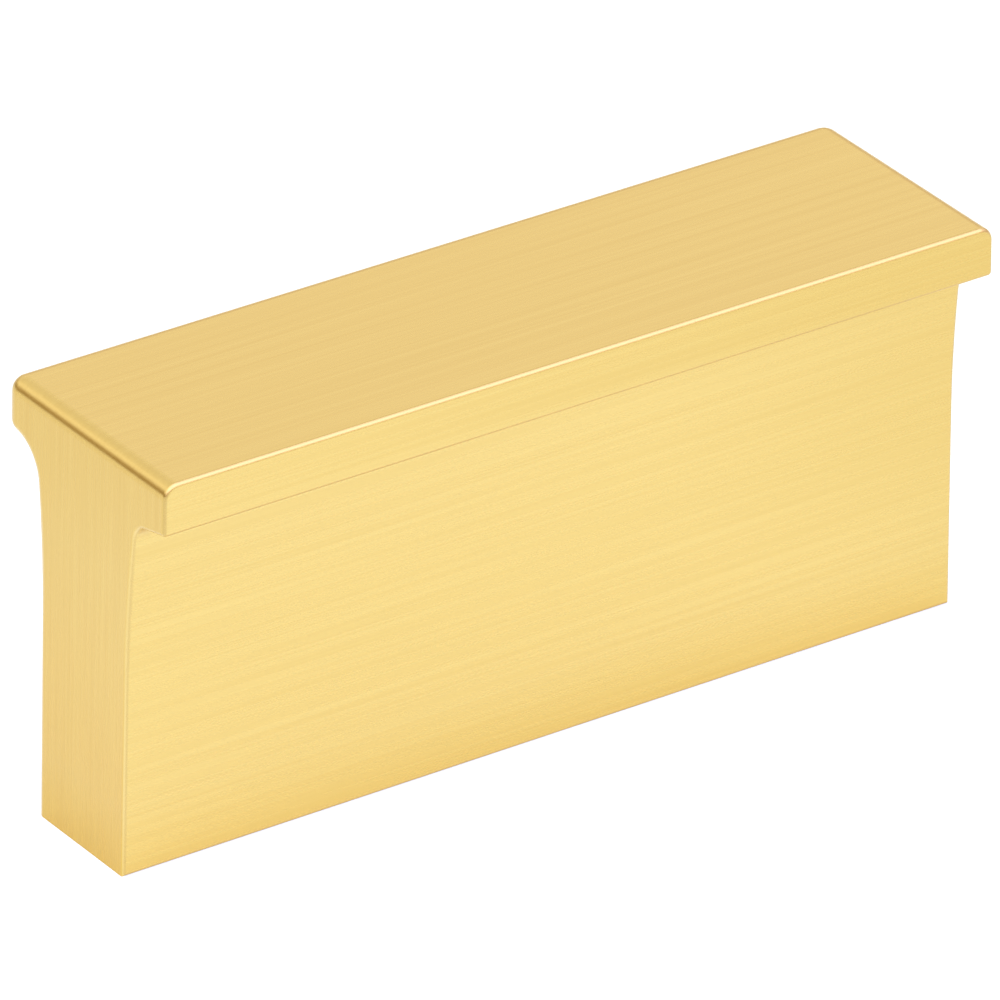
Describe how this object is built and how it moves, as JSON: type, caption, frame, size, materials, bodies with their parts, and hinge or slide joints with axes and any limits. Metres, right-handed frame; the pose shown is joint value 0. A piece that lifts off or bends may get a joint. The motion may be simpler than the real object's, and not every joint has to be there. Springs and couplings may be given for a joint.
{
  "type": "t-bar pull",
  "caption": "Short solid cabinet pull of T section: a flat cap whose lips overhang a broad stem with coved sides, brushed pale gold, screwed on from behind.",
  "frame": {"origin": "middle of the mounting face, where it meets the door", "axes": "+X along the pull, +Z away from the door towards the cap, -Y the front of the stem"},
  "size_m": [0.0554, 0.0154, 0.0254],
  "materials": {
    "brushed_gold": "brushed pale gold plating over a zinc casting, satin"
  },
  "bodies": {
    "root": {"pull": "brushed_gold"}
  },
  "joints": []
}
